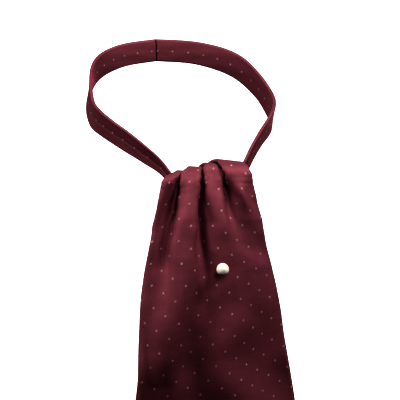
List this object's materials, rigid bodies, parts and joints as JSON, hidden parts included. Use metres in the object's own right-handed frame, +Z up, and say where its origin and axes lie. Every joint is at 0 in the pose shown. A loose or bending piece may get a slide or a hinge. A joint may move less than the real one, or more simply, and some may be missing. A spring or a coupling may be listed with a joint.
{
  "type": "silk day cravat with pearl pin, tied",
  "caption": "Silk day cravat tied once over, hollow neckband, pleated front blade falling to a point, shorter under blade behind it and a pearl pin.",
  "frame": {"origin": "middle of the neck loop, on the neck's axis, at the height of the neckband's middle at the sides", "axes": "+Z up along the neck, -Y to the front where the blades fall, +X to the right as seen from the front"},
  "size_m": [0.1401, 0.1978, 0.3606],
  "materials": {
    "silk": "burgundy silk twill with a soft sheen and pale pin dots",
    "pearl": "cream pearl with a soft lustre",
    "pin_metal": "polished gilt metal"
  },
  "bodies": {
    "root": {"front_blade": "silk", "under_blade": "silk", "knot_wrap": "silk", "neckband_left": "silk", "neckband_right": "silk", "pin_pearl": "pearl", "pin_post": "pin_metal", "pin_clutch": "pin_metal"}
  },
  "joints": []
}
